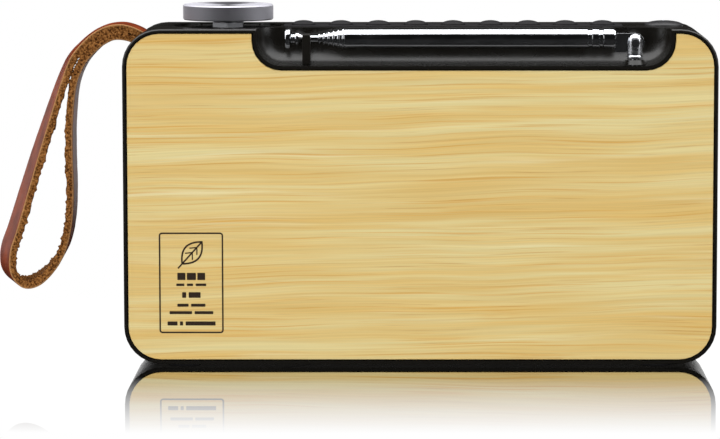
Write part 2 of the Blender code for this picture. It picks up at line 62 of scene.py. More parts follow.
# ------------------------------------------------------------ camera
# The radio is seen from its antenna side, from a little above the top of the case, through a long
# lens that keeps the sides of the case almost parallel.
CAMERA_AWAY, CAMERA_HIGH = 1.150, 0.1749  # metres
LENS, LOOKS_DOWN = 181.06, 0.1105  # millimetres, and radians
ASIDE = -0.0838  # the case stands right of the middle, and the strap left of it

camera = bpy.data.objects.new("camera", bpy.data.cameras.new("camera"))
bpy.context.scene.collection.objects.link(camera)
camera.data.lens = LENS
camera.data.sensor_width = 36
camera.location = (mid_x, rear_y - CAMERA_AWAY, CAMERA_HIGH)
camera.rotation_euler = (math.pi / 2 - LOOKS_DOWN, 0, 0)
camera.data.shift_x = ASIDE
bpy.context.scene.camera = camera
bpy.context.scene.view_settings.view_transform = "Standard"


# ------------------------------------------------------------ studio
# A glossy white table that mirrors the radio close to it and fades to plain white, a low white card
# behind it, one at each side, a long softbox overhead and a weak key light from the front left. The
# room is kept dark to the chrome and the black plastic, so they show a bright top and a dark middle.
MIRROR_START, MIRROR_REACH = 24 * MM, 104 * MM  # the mirror fades over this stretch beyond the case
MIRROR_TINT = 0.72
TABLE_IN_GLOSS = 0.012  # how bright the white table looks in the radio's shiny surfaces
TABLE_SIZE = 8
BACK_CARD_AT, BACK_CARD_SIZE, BACK_CARD_GLOW = (mid_x, 0.40, 0.050), (1.2, 0.100), 1.45
SIDE_CARD_AWAY, SIDE_CARD_SIZE, SIDE_CARD_GLOW = 1.1, (0.9, 0.8), 1.6
SOFTBOX_AT, SOFTBOX_SIZE, SOFTBOX_WATTS = (-0.1, 0.1, 1.7), (4.8, 2.1), 95
KEY_LIGHT_AT, KEY_LIGHT_SIZE, KEY_LIGHT_WATTS = (-0.9, -1.9, 0.8), (1.4, 1.4), 15
DIM_ROOM, SOFT_FILL, TABLE_SKY = 0.005, 0.29, 1.4  # as gloss, matt surfaces and the table mirror see it


def tint(code):
    """An sRGB hex colour as linear RGBA."""
    parts = [int(code[i : i + 2], 16) / 255 for i in (1, 3, 5)]
    return (*(c / 12.92 if c <= 0.04045 else ((c + 0.055) / 1.055) ** 2.4 for c in parts), 1)


def add(tree, kind, sockets=None, **settings):
    """Adds a node with its settings. A socket is given either a value or another node's output."""
    made = tree.nodes.new(kind)
    for name, value in settings.items():
        setattr(made, name, value)
    for name, value in (sockets or {}).items():
        if isinstance(value, bpy.types.NodeSocket):
            tree.links.new(value, made.inputs[name])
        else:
            made.inputs[name].default_value = value
    return made


def stage_material(name):
    """An empty material for a thing in the studio."""
    made = bpy.data.materials.new(name)
    made.use_nodes = True
    made.node_tree.nodes.clear()
    return made, made.node_tree


floor_paint, tree = stage_material("table_gloss")
place = add(tree, "ShaderNodeTexCoord").outputs["Object"]
half_case = ((case_high.x - case_low.x) / 2, (front_y - rear_y) / 2, 0)
for operation, other in (
    ("SUBTRACT", {1: (mid_x, 0, 0)}), ("ABSOLUTE", {}),
    ("SUBTRACT", {1: half_case}), ("MAXIMUM", {1: (0, 0, 0)}),
):
    place = add(tree, "ShaderNodeVectorMath", {0: place, **other}, operation=operation).outputs[0]
away = add(tree, "ShaderNodeVectorMath", {0: place}, operation="LENGTH").outputs["Value"]
fade = add(tree, "ShaderNodeMapRange", {
    "Value": away, "From Min": MIRROR_START, "From Max": MIRROR_START + MIRROR_REACH,
    "To Min": 1, "To Max": 0,
}).outputs["Result"]
ray = add(tree, "ShaderNodeLightPath").outputs
fade = add(tree, "ShaderNodeMath", {0: fade, 1: ray["Is Camera Ray"]}, operation="MULTIPLY").outputs[0]
glow = add(tree, "ShaderNodeMapRange", {
    "Value": ray["Is Glossy Ray"], "To Min": 1.0, "To Max": TABLE_IN_GLOSS,
}).outputs["Result"]
white = add(tree, "ShaderNodeEmission", {"Color": (1, 1, 1, 1), "Strength": glow}).outputs[0]
mirror = add(tree, "ShaderNodeBsdfGlossy", {
    "Color": (MIRROR_TINT, MIRROR_TINT, MIRROR_TINT, 1), "Roughness": 0.0,
}).outputs[0]
mixed = add(tree, "ShaderNodeMixShader", {0: fade, 1: white, 2: mirror}).outputs[0]
add(tree, "ShaderNodeOutputMaterial", {"Surface": mixed})

bpy.ops.mesh.primitive_plane_add(size=TABLE_SIZE)
table = bpy.context.object
table.name = "studio_table"
table.data.materials.append(floor_paint)


def glowing_card(name, place, turn, size, glow):
    """An upright sheet that shows only in shiny surfaces."""
    paint, tree = stage_material(name + "_white")
    lit = add(tree, "ShaderNodeEmission", {"Strength": glow}).outputs[0]
    add(tree, "ShaderNodeOutputMaterial", {"Surface": lit})
    bpy.ops.mesh.primitive_plane_add(size=1, location=place, rotation=(math.pi / 2, 0, turn))
    card = bpy.context.object
    card.name = name
    card.scale = (*size, 1)
    card.data.materials.append(paint)
    card.visible_diffuse = False
    card.visible_camera = False
    card.visible_shadow = False
    return card


cards = [glowing_card("studio_card", BACK_CARD_AT, 0, BACK_CARD_SIZE, BACK_CARD_GLOW)]
for name, away in (("side_card_left", -SIDE_CARD_AWAY), ("side_card_right", SIDE_CARD_AWAY)):
    place = (mid_x + away, -0.35, 0.5)
    cards.append(glowing_card(name, place, math.pi / 2, SIDE_CARD_SIZE, SIDE_CARD_GLOW))


def area_light(name, place, size, watts):
    """A rectangular light that the camera doesn't see."""
    lamp = bpy.data.objects.new(name, bpy.data.lights.new(name, "AREA"))
    bpy.context.scene.collection.objects.link(lamp)
    lamp.data.shape = "RECTANGLE"
    lamp.data.size, lamp.data.size_y = size
    lamp.data.energy = watts
    lamp.location = place
    lamp.visible_camera = False
    return lamp


area_light("softbox", SOFTBOX_AT, SOFTBOX_SIZE, SOFTBOX_WATTS)
key_light = area_light("key_light", KEY_LIGHT_AT, KEY_LIGHT_SIZE, KEY_LIGHT_WATTS)
to_case = Vector((mid_x, rear_y, 0.05)) - key_light.location
key_light.rotation_euler = to_case.to_track_quat("-Z", "Y").to_euler()
key_light.visible_glossy = False

world = bpy.data.worlds.new("studio")
bpy.context.scene.world = world
world.use_nodes = True
tree = world.node_tree
tree.nodes.clear()
ray = add(tree, "ShaderNodeLightPath").outputs
seen = add(tree, "ShaderNodeMapRange", {
    "Value": ray["Is Diffuse Ray"], "To Min": DIM_ROOM, "To Max": SOFT_FILL,
}).outputs["Result"]
seen = add(tree, "ShaderNodeMath", {0: seen, 1: ray["Is Camera Ray"]}, operation="MAXIMUM").outputs[0]
seen = add(tree, "ShaderNodeMath", {
    0: ray["Is Singular Ray"], 1: TABLE_SKY, 2: seen,
}, operation="MULTIPLY_ADD").outputs[0]
sky = add(tree, "ShaderNodeBackground", {"Color": (1, 1, 1, 1), "Strength": seen}).outputs[0]
add(tree, "ShaderNodeOutputWorld", {"Surface": sky})


# ------------------------------------------------------------ cabinet and front frame
# Two black ABS mouldings that meet in a fine joint near the front. The cabinet carries the trough for
# the antenna, the dish for the knob and the slot for the strap. Every edge of a moulding is slightly
# round, and its skin has a fine spark texture that gives a soft shine.
EDGE_ROUND = 0.6 * MM
RIM_ROUND = 0.8 * MM  # the outline of each end plane is rounder than the other edges
DEEP_WALL = 5 * MM  # a wall that runs further back than this is the outside or the trough


def new_finish(name, uniform):
    """A Principled material with the values that are the same all over it."""
    made = bpy.data.materials.new(name)
    made.use_nodes = True
    shader = made.node_tree.nodes["Principled BSDF"]
    for socket, value in uniform.items():
        shader.inputs[socket].default_value = value
    return made, made.node_tree, shader


def in_millimetres(tree, stretch=(1, 1, 1)):
    """Object coordinates counted in millimetres, with each axis stretched as asked."""
    place = add(tree, "ShaderNodeTexCoord").outputs["Object"]
    scale = tuple(1 / (MM * s) for s in stretch)
    return add(tree, "ShaderNodeMapping", {"Vector": place, "Scale": scale}).outputs["Vector"]


def noise_of(tree, place, scale, detail, **settings):
    """Cloudy noise, 0 to 1, at this many repeats for each unit of the place."""
    sockets = {"Vector": place, "Scale": scale, "Detail": detail, **settings}
    return add(tree, "ShaderNodeTexNoise", sockets).outputs["Fac"]


def emboss(tree, shader, height, strength, relief_mm):
    """Gives a shader fine relief."""
    bump = add(tree, "ShaderNodeBump", {"Height": height, "Strength": strength, "Distance": relief_mm * MM})
    tree.links.new(bump.outputs["Normal"], shader.inputs["Normal"])


def moulded_black(name, colour, roughness, grain_mm, relief):
    """Moulded ABS: near black, with a spark-eroded grain and faint shiny and dull areas."""
    made, tree, shader = new_finish(name, {"Base Color": tint(colour), "IOR": 1.53})
    place = in_millimetres(tree)
    grain = noise_of(tree, place, 1 / grain_mm, 3)
    cloud = noise_of(tree, place, 1 / 14, 2)
    dull = add(tree, "ShaderNodeMapRange", {
        "Value": cloud, "From Min": 0.3, "From Max": 0.7,
        "To Min": roughness - 0.04, "To Max": roughness + 0.04,
    }).outputs["Result"]
    tree.links.new(dull, shader.inputs["Roughness"])
    emboss(tree, shader, grain, 0.25, relief)
    return made


def round_the_rim(mesh, plane):
    """Rounds the outline of a moulding on one of its end planes, in object mode. The shallow walls that
    start there belong to the recess for a panel and keep their edges."""
    def behind(corners):
        return max(abs(mesh.vertices[corner].co.y - plane) for corner in corners)

    deep = {key for face in mesh.polygons if behind(face.vertices) > DEEP_WALL for key in face.edge_keys}
    bpy.ops.object.mode_set(mode="EDIT")
    bpy.ops.mesh.select_mode(type="EDGE")
    bpy.ops.mesh.select_all(action="DESELECT")
    bpy.ops.object.mode_set(mode="OBJECT")
    for edge in mesh.edges:
        edge.select = behind(edge.vertices) < 0.01 * MM and edge.key in deep
    bpy.ops.object.mode_set(mode="EDIT")
    bpy.ops.mesh.bevel(offset=RIM_ROUND, segments=4, profile=0.5, affect="EDGES", loop_slide=False)
    bpy.ops.mesh.select_mode(type="VERT")
    bpy.ops.object.mode_set(mode="OBJECT")


def softened(node, name, width, finish, segments=3, angle=32, rim=None):
    """A copy of a solid with its loose triangles merged and its sharp edges rounded."""
    piece = bpy.data.objects.new(name, nodes[node].data.copy())
    piece.data.name = name
    bpy.context.scene.collection.objects.link(piece)
    bpy.ops.object.select_all(action="DESELECT")
    bpy.context.view_layer.objects.active = piece
    piece.select_set(True)
    bpy.ops.object.mode_set(mode="EDIT")
    bpy.ops.mesh.select_all(action="SELECT")
    bpy.ops.mesh.remove_doubles(threshold=0.004 * MM)
    bpy.ops.mesh.dissolve_limited(angle_limit=math.radians(0.5))
    bpy.ops.object.mode_set(mode="OBJECT")
    if rim is not None:
        round_the_rim(piece.data, rim)
    soft = piece.modifiers.new("rounded", "BEVEL")
    soft.width = width
    soft.segments = segments
    soft.limit_method = "ANGLE"
    soft.angle_limit = math.radians(angle)
    soft.miter_outer = "MITER_ARC"
    bpy.ops.object.modifier_apply(modifier=soft.name)
    bpy.ops.object.shade_smooth_by_angle(angle=math.radians(angle))
    flat = piece.modifiers.new("flat faces stay flat", "WEIGHTED_NORMAL")
    flat.keep_sharp = True
    bpy.ops.object.modifier_apply(modifier=flat.name)
    piece.data.materials.clear()
    piece.data.materials.append(finish)
    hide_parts(node)
    return piece


abs_black = moulded_black("moulded_abs", "#15130f", 0.27, 0.35, 0.03)
shell = softened("cabinet", "cabinet_shell", EDGE_ROUND, abs_black, rim=rear_y)
front = softened("front_frame", "front_shell", EDGE_ROUND, abs_black, rim=front_y)
for piece in (shell, front):
    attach(piece, "case")


# ------------------------------------------------------------ bamboo panels
# Two thin boards of pressed bamboo, let into the black frames with a fine dark groove round them.
# The fibres run along the case; each stem had joints, which show as short orange ripples.
PANEL_EDGE = 0.25 * MM


def bamboo(name, drift):
    """Planed and satin lacquered bamboo: straw yellow, with pale and orange fibres a millimetre wide."""
    made, tree, shader = new_finish(name, {"IOR": 1.5, "Specular IOR Level": 0.35})
    place = add(tree, "ShaderNodeTexCoord").outputs["Object"]
    place = add(tree, "ShaderNodeMapping", {"Vector": place, "Location": drift, "Scale": (1 / MM,) * 3})
    parts = add(tree, "ShaderNodeSeparateXYZ", {"Vector": place.outputs["Vector"]}).outputs

    def figure(along_mm, across_mm, height, detail=2.0, seed=0.0):
        """Noise that is long along the fibres and narrow across them."""
        spot = add(tree, "ShaderNodeCombineXYZ", {"X": parts["X"], "Y": seed, "Z": height}).outputs[0]
        spot = add(tree, "ShaderNodeMapping", {"Vector": spot, "Scale": (1 / along_mm, 1, 1 / across_mm)})
        return noise_of(tree, spot.outputs["Vector"], 1, detail, Roughness=0.55)

    def between(value, low, high, to_low, to_high):
        """A value carried smoothly from one range to another."""
        return add(tree, "ShaderNodeMapRange", {
            "Value": value, "From Min": low, "From Max": high, "To Min": to_low, "To Max": to_high,
        }, interpolation_type="SMOOTHSTEP").outputs["Result"]

    def plus(first, second, share):
        """first + second * share"""
        sockets = {0: second, 1: share, 2: first}
        return add(tree, "ShaderNodeMath", sockets, operation="MULTIPLY_ADD").outputs[0]

    def mixed(factor, first, second):
        """A blend of two colours, each a hex code or another node's output."""
        made = add(tree, "ShaderNodeMix", {0: factor}, data_type="RGBA")
        for socket, value in ((made.inputs[6], first), (made.inputs[7], second)):
            if isinstance(value, str):
                socket.default_value = tint(value)
            else:
                tree.links.new(value, socket)
        return made.outputs[2]

    spot = add(tree, "ShaderNodeCombineXYZ", {"X": parts["X"], "Z": parts["Z"]}).outputs["Vector"]
    spot = add(tree, "ShaderNodeMapping", {"Vector": spot, "Scale": (1 / 78, 1, 1 / 19)}).outputs["Vector"]
    joint = add(tree, "ShaderNodeTexVoronoi", {"Vector": spot, "Scale": 1}).outputs["Distance"]
    joint = between(joint, 0.02, 0.16, 1, 0)
    bend = figure(70, 16, parts["Z"], 1)
    height = plus(parts["Z"], bend, 5.0)
    height = plus(height, parts["X"], -0.02)
    height = plus(height, joint, 1.3)

    colour = mixed(between(figure(160, 6, height, 3), 0.34, 0.66, 0, 1), "#dfce92", "#dab970")
    colour = mixed(between(figure(120, 2.2, height, 3, 3.0), 0.44, 0.70, 0, 0.65), colour, "#dcb666")
    colour = mixed(between(figure(90, 2.4, height, 2, 11.0), 0.56, 0.76, 0, 0.45), colour, "#e6dcb0")
    colour = mixed(between(figure(95, 0.75, height, 3, 7.0), 0.55, 0.68, 0, 0.75), colour, "#d3a04a")
    colour = mixed(between(figure(40, 0.5, height, 3, 15.0), 0.60, 0.72, 0, 0.55), colour, "#bb8238")
    ripple = figure(9, 0.9, height, 2, 19.0)
    ripple = between(ripple, 0.42, 0.62, 0, 0.6)
    stripe = add(tree, "ShaderNodeMath", {0: joint, 1: ripple}, operation="MULTIPLY").outputs[0]
    colour = mixed(stripe, colour, "#d09440")
    fibre = figure(70, 0.5, height, 2, 23.0)
    light = between(fibre, 0.3, 0.7, 0.94, 1.04)
    shade = add(tree, "ShaderNodeHueSaturation", {"Value": light, "Color": colour}).outputs["Color"]
    tree.links.new(shade, shader.inputs["Base Color"])
    tree.links.new(between(fibre, 0.3, 0.7, 0.36, 0.48), shader.inputs["Roughness"])
    emboss(tree, shader, fibre, 0.15, 0.03)
    return made


for node, name, drift in (
    ("bamboo_back_panel", "back_board", (0, 0, 0)),
    ("bamboo_front_panel", "front_board", (37, 0, 21)),
):
    board = softened(node, name, PANEL_EDGE, bamboo(name + "_bamboo", drift), segments=2)
    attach(board, "case")


# ------------------------------------------------------------ print on the back board
# A small certificate panel, silk screened in dark ink: a thin frame with a leaf and rows of plain
# dashes. The ink lies a few hundredths of a millimetre proud of the wood.
PRINT_W, PRINT_H = 20.6 * MM, 32.5 * MM
PRINT_LINE, PRINT_CORNER, INK_T = 0.5 * MM, 1.0 * MM, 0.03 * MM
board_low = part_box("bamboo_back_panel")[0]
print_x, print_z = board_low.x + 20.2 * MM, board_low.z + 24.8 * MM
ink_parts = []


def ink_plate(width, height, x, z, corner, turn=0.0):
    """A flat plate with round corners that faces -Y, left in edit mode with its face selected."""
    bpy.ops.object.select_all(action="DESELECT")
    bpy.ops.mesh.primitive_plane_add(size=1, location=(x, board_low.y, z), rotation=(math.pi / 2, 0, 0))
    plate = bpy.context.object
    plate.scale = (width, height, 1)
    bpy.ops.object.transform_apply(location=False)
    plate.rotation_euler.y = turn
    bpy.ops.object.transform_apply(location=False)
    bpy.ops.object.mode_set(mode="EDIT")
    bpy.ops.mesh.select_all(action="SELECT")
    bpy.ops.mesh.bevel(offset=corner, segments=4, affect="VERTICES")
    bpy.ops.mesh.select_all(action="SELECT")
    ink_parts.append(plate)
    return plate


def hollow_out(line):
    """Leaves only a line of this width along the edge of the selected face."""
    bpy.ops.mesh.inset(thickness=line)
    bpy.ops.mesh.delete(type="FACE")


ink_plate(PRINT_W, PRINT_H, print_x, print_z, PRINT_CORNER)
hollow_out(PRINT_LINE)
bpy.ops.object.mode_set(mode="OBJECT")

LEAF_LONG, LEAF_WIDE, LEAF_TURN, LEAF_LINE = 10.2 * MM, 6.0 * MM, math.radians(-48), 0.55 * MM
RIB_LONG, RIB_THICK = 11.2 * MM, 0.5 * MM
VEIN_LONG, VEIN_THICK, VEIN_TURN = 2.3 * MM, 0.38 * MM, math.radians(42)
leaf_x, leaf_z = print_x + 0.3 * MM, print_z + 9.7 * MM
bpy.ops.object.select_all(action="DESELECT")
bpy.ops.mesh.primitive_circle_add(vertices=48, radius=1, fill_type="NGON", rotation=(math.pi / 2, 0, 0))
leaf = bpy.context.object
bpy.ops.object.transform_apply(location=False)
for vertex in leaf.data.vertices:
    u, v = vertex.co.x, vertex.co.z
    vertex.co.x = u * LEAF_LONG / 2
    vertex.co.z = math.copysign(1 - u * u, v) * LEAF_WIDE / 2
leaf.rotation_euler.y = LEAF_TURN
leaf.location = (leaf_x, board_low.y, leaf_z)
bpy.ops.object.transform_apply(location=False)
ink_parts.append(leaf)
bpy.ops.object.mode_set(mode="EDIT")
bpy.ops.mesh.select_all(action="SELECT")
bpy.ops.mesh.remove_doubles(threshold=0.01 * MM)
hollow_out(LEAF_LINE)
bpy.ops.object.mode_set(mode="OBJECT")
along = Vector((math.cos(LEAF_TURN), 0, -math.sin(LEAF_TURN)))
across = Vector((along.z, 0, -along.x))
middle = Vector((leaf_x, 0, leaf_z))
rib = middle - along * 1.2 * MM
ink_plate(RIB_LONG, RIB_THICK, rib.x, rib.z, 0.2 * MM, LEAF_TURN)
bpy.ops.object.mode_set(mode="OBJECT")
for side in (-1, 1):
    for step in (-0.8, 1.4):
        vein = middle + along * step * MM + across * side * 0.85 * MM
        ink_plate(VEIN_LONG, VEIN_THICK, vein.x, vein.z, 0.15 * MM, LEAF_TURN - side * VEIN_TURN)
        bpy.ops.object.mode_set(mode="OBJECT")

INK_ROWS = (  # height above the middle, thickness, lengths of the dashes
    (2.1, 2.3, (2.6, 2.9, 2.5)),
    (-0.6, 0.8, (2.6, 2.0, 3.4)),
    (-3.9, 1.8, (1.3, 3.8)),
    (-7.2, 0.95, (3.6, 4.6)),
    (-9.6, 0.95, (7.2, 6.0)),
    (-13.1, 1.3, (3.2, 1.0, 9.6)),
)
for height, thick, dashes in INK_ROWS:
    gap = 0.45 if thick > 2 else 0.8
    left = -(sum(dashes) + gap * (len(dashes) - 1)) / 2
    for dash in dashes:
        centre = left + dash / 2
        left += dash + gap
        ink_plate(dash * MM, thick * MM, print_x + centre * MM, print_z + height * MM, 0.2 * MM)
        bpy.ops.object.mode_set(mode="OBJECT")

bpy.ops.object.select_all(action="DESELECT")
for plate in ink_parts:
    plate.select_set(True)
bpy.context.view_layer.objects.active = ink_parts[0]
bpy.ops.object.join()
back_print = bpy.context.object
back_print.name = back_print.data.name = "back_print"
bpy.ops.object.transform_apply()
raised = back_print.modifiers.new("ink", "SOLIDIFY")
raised.thickness = INK_T
raised.offset = 1
bpy.ops.object.modifier_apply(modifier=raised.name)


def shaded(tree, factor, dark, light, start=0.0, end=1.0):
    """A colour that runs from dark to light as the factor goes from start to end."""
    ramp = add(tree, "ShaderNodeValToRGB", {"Fac": factor})
    for element, position, colour in zip(ramp.color_ramp.elements, (start, end), (dark, light)):
        element.position, element.color = position, colour
    return ramp


def mottled(name, roughness, dark, light, scale, detail=3):
    """A plain finish with faint darker and lighter clouds, as many to the millimetre as scale says."""
    made, tree, shader = new_finish(name, {"Roughness": roughness})
    cloud = noise_of(tree, in_millimetres(tree), scale, detail)
    ramp = shaded(tree, cloud, tint(dark), tint(light))
    tree.links.new(ramp.outputs["Color"], shader.inputs["Base Color"])
    return made


back_print.data.materials.append(mottled("printing_ink", 0.55, "#241509", "#3a2814", 1.6))
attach(back_print, "case")


# ------------------------------------------------------------ volume knob
# A turned aluminium cap on the encoder shaft. Its side is brushed round, its top is spun and very
# slightly dished, and a polished chamfer runs round the top edge.
knob_low, knob_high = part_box("volume_knob")
knob_centre = (knob_low + knob_high) / 2
KNOB_R = (knob_high.x - knob_low.x) / 2
KNOB_CHAMFER, KNOB_LIP, KNOB_DISH = 0.45 * MM, 0.9 * MM, 0.35 * MM
FINE = 96


def turned_piece(name, centre, axis, outline, sides=FINE, sharp=36):
    """Spins an outline of (radius, place along the axis) pairs about an axis through a centre."""
    axis = Vector(axis)
    side = Vector((0, -1, 0)) if abs(axis.y) < 0.5 else Vector((0, 0, 1))
    points = [Vector(centre) + side * radius + axis * place for radius, place in outline]
    bpy.ops.object.select_all(action="DESELECT")
    bpy.ops.mesh.primitive_plane_add(size=MM, enter_editmode=True)
    bpy.ops.mesh.merge(type="CENTER")
    bpy.ops.transform.translate(value=points[0])
    for start, end in zip(points, points[1:]):
        bpy.ops.mesh.extrude_region_move(TRANSFORM_OT_translate={"value": end - start})
    bpy.ops.mesh.select_all(action="SELECT")
    bpy.ops.mesh.spin(steps=sides, angle=2 * math.pi, center=centre, axis=axis)
    bpy.ops.mesh.select_all(action="SELECT")
    bpy.ops.mesh.remove_doubles(threshold=0.003 * MM)
    bpy.ops.mesh.normals_make_consistent(inside=False)
    bpy.ops.object.mode_set(mode="OBJECT")
    piece = bpy.context.object
    piece.name = piece.data.name = name
    bpy.ops.object.shade_smooth_by_angle(angle=math.radians(sharp))
    return piece


def brushed_aluminium(name, colour, roughness):
    """Turned and anodised aluminium: fine lines round the axis that draw highlights across them."""
    made, tree, shader = new_finish(name, {
        "Base Color": tint(colour), "Metallic": 1.0, "Roughness": roughness, "Anisotropic": 0.75,
    })
    place = add(tree, "ShaderNodeTexCoord").outputs["Object"]
    axis = (knob_centre.x, knob_centre.y, 0)
    off = add(tree, "ShaderNodeVectorMath", {0: place, 1: axis}, operation="SUBTRACT").outputs[0]
    parts = add(tree, "ShaderNodeSeparateXYZ", {"Vector": off}).outputs
    flat = add(tree, "ShaderNodeCombineXYZ", {"X": parts["X"], "Y": parts["Y"]}).outputs["Vector"]
    radius = add(tree, "ShaderNodeVectorMath", {0: flat}, operation="LENGTH").outputs["Value"]
    line = add(tree, "ShaderNodeCombineXYZ", {"X": radius, "Z": parts["Z"]}).outputs["Vector"]
    emboss(tree, shader, noise_of(tree, line, 1 / (0.12 * MM), 2), 0.12, 0.02)
    tangent = add(tree, "ShaderNodeTangent", direction_type="RADIAL", axis="Z").outputs["Tangent"]
    tree.links.new(tangent, shader.inputs["Tangent"])
    return made


knob_cap = turned_piece("knob_cap", (knob_centre.x, knob_centre.y, 0), (0, 0, 1), [
    (0, knob_high.z - KNOB_DISH), (KNOB_R * 0.5, knob_high.z - KNOB_DISH * 0.9),
    (KNOB_R - KNOB_CHAMFER - KNOB_LIP * 1.5, knob_high.z - KNOB_DISH * 0.35),
    (KNOB_R - KNOB_CHAMFER - KNOB_LIP, knob_high.z),
    (KNOB_R - KNOB_CHAMFER, knob_high.z), (KNOB_R, knob_high.z - KNOB_CHAMFER),
    (KNOB_R, knob_low.z + 0.35 * MM), (KNOB_R - 0.35 * MM, knob_low.z),
    (KNOB_R - 1.4 * MM, knob_low.z), (KNOB_R - 1.6 * MM, knob_low.z + 0.5 * MM),
    (3.1 * MM, knob_low.z + 0.5 * MM), (3.1 * MM, knob_high.z - 1.8 * MM), (0, knob_high.z - 1.8 * MM),
])
knob_cap.data.materials.append(brushed_aluminium("brushed_aluminium", "#c9c8d0", 0.52))
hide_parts("volume_knob")
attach(knob_cap, "knob")


# ------------------------------------------------------------ keys
# Nine silicone rubber domes in one rubber strip, and a larger moulded power key at the far end with a pale
# lens dot, a painted highlight. Each dome is a cap on a stem and drops straight into its hole when it is
# pressed.
KEY_STEM_R, KEY_SKIRT = 2.5 * MM, 0.7 * MM


def silicone(name, colour):
    """Silicone rubber: a dull charcoal skin with a faint bloom of dust on it."""
    made, tree, shader = new_finish(name, {"IOR": 1.41, "Specular IOR Level": 0.22})
    place = in_millimetres(tree)
    dust = noise_of(tree, place, 0.5, 4)
    dusty = tuple(min(1.0, c * 1.35) for c in tint(colour))
    ramp = shaded(tree, dust, tint(colour), dusty)
    dull = add(tree, "ShaderNodeMapRange", {"Value": dust, "To Min": 0.5, "To Max": 0.68}).outputs["Result"]
    tree.links.new(ramp.outputs["Color"], shader.inputs["Base Color"])
    tree.links.new(dull, shader.inputs["Roughness"])
    emboss(tree, shader, noise_of(tree, place, 4, 2), 0.2, 0.03)
    return made


rubber = silicone("silicone_rubber", "#1c1b1d")
strip = softened("key_strip", "key_mat", 0.25 * MM, rubber, segments=2)
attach(strip, "case")


def domed_key(node, name, finish, rise_share, body):
    """A dome over a straight skirt and a stem, sized from the solid that it stands for."""
    low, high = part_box(node)
    centre = (low + high) / 2
    radius = (high.x - low.x) / 2
    rim = high.z - rise_share * radius
    arc = []
    for step in range(9):
        angle = math.radians(88) * step / 8
        arc.append((radius * math.sin(angle), rim + (high.z - rim) * math.cos(angle)))
    skirt = rim - KEY_SKIRT
    outline = arc + [
        (radius, rim - KEY_SKIRT * 0.8), (radius - 0.1 * MM, skirt), (KEY_STEM_R, skirt),
        (KEY_STEM_R, low.z), (0, low.z),
    ]
    piece = turned_piece(name, (centre.x, centre.y, 0), (0, 0, 1), outline, sides=48)
    piece.data.materials.append(finish)
    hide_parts(node)
    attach(piece, body)


for number in range(1, 10):
    domed_key(f"key_{number}", f"key_cap_{number}", rubber, 0.37, f"key_{number}")
power_black = moulded_black("moulded_power_key", "#1e1d20", 0.45, 0.5, 0.03)
domed_key("power_key", "power_cap", power_black, 0.235, "power_key")
power_low, power_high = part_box("power_key")
power_x, power_y = (power_low.x + power_high.x) / 2, (power_low.y + power_high.y) / 2
# The pale lens dot on top of the power key is a painted highlight: a light grey disc where the dome shows a
# bright glint.
HIGHLIGHT_DOT_R = 0.55 * MM
lamp = turned_piece("power_key_highlight_dot", (power_x, power_y, power_high.z), (0, 0, 1), [
    (0, 0.14 * MM), (HIGHLIGHT_DOT_R * 0.6, 0.10 * MM), (HIGHLIGHT_DOT_R, 0), (HIGHLIGHT_DOT_R, -0.3 * MM), (0, -0.3 * MM),
], sides=24)
clear = new_finish("painted_highlight_lens", {"Base Color": tint("#c9c9cf"), "Roughness": 0.15, "IOR": 1.49})[0]
lamp.data.materials.append(clear)
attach(lamp, "power_key")


# ------------------------------------------------------------ telescopic antenna
# Seven thin chromed brass tubes, one inside the other, each with a rolled lip where the next one comes
# out. The outer tube is crimped twice onto its flat tongue, and the innermost one ends in a turned tip.
BEAD = 0.36 * MM
CRIMPS, CRIMP_WIDE, CRIMP_DEEP = (4.0 * MM, 7.6 * MM), 1.5 * MM, 0.5 * MM


def chromed(name, colour, roughness):
    """Bright chrome plate: almost a mirror, with faint wiping marks that blur it in places."""
    made, tree, shader = new_finish(name, {"Base Color": tint(colour), "Metallic": 1.0})
    place = in_millimetres(tree, (6, 1, 1))
    wipe = noise_of(tree, place, 0.8, 4)
    blur = add(tree, "ShaderNodeMapRange", {
        "Value": wipe, "From Min": 0.35, "From Max": 0.75, "To Min": roughness, "To Max": roughness * 2.4,
    }).outputs["Result"]
    tree.links.new(blur, shader.inputs["Roughness"])
    emboss(tree, shader, wipe, 0.06, 0.02)
    return made


chrome = chromed("chrome_plate", "#eceef2", 0.07)
TUBE_WALL, TUBE_PLAY = 0.24 * MM, 0.13 * MM
for number in range(1, 8):
    low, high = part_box(f"antenna_tube_{number}")
    centre = (low + high) / 2
    radius = (high.z - low.z) / 2
    if number == 7:
        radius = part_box("antenna_tube_6")[1].z - centre.z - TUBE_WALL - TUBE_PLAY
    inside = radius - TUBE_WALL
    base, tip = high.x - centre.x, low.x - centre.x
    outline = [(radius, base)]
    if number == 1:
        for crimp in CRIMPS:
            for step in range(13):
                share = step / 12
                dip = CRIMP_DEEP * math.sin(share * math.pi)
                outline.append((radius - dip, base - crimp + CRIMP_WIDE * (0.5 - share)))
    if number < 7:
        outline += [(radius, tip + 1.15 * MM), (radius - 0.13 * MM, tip + 0.95 * MM)]
        for step in range(9):
            turn = math.pi * step / 8
            rolled = radius - 0.16 * MM + BEAD * math.sin(turn)
            outline.append((rolled, tip + (0.42 + 0.4 * math.cos(turn)) * MM))
        outline += [(inside, tip), (inside, base), (radius, base)]
    else:
        head = (high.z - low.z) / 2
        outline = [(0, base)] + outline + [
            (radius, tip + 6.2 * MM), (radius * 1.15, tip + 5.6 * MM), (1.75 * MM, tip + 4.7 * MM),
            (2.0 * MM, tip + 4.3 * MM), (2.0 * MM, tip + 3.6 * MM), (1.5 * MM, tip + 3.2 * MM),
            (1.5 * MM, tip + 2.6 * MM), (head - 0.5 * MM, tip + 2.1 * MM), (head, tip + 1.7 * MM),
            (head, tip + 0.7 * MM), (head - 0.25 * MM, tip + 0.25 * MM), (head - 0.9 * MM, tip), (0, tip),
        ]
    tube = turned_piece(f"antenna_section_{number}", centre, (1, 0, 0), outline, sides=64)
    tube.data.materials.append(chrome)
    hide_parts(f"antenna_tube_{number}")
    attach(tube, "antenna_arm" if number == 1 else f"antenna_section_{number}")

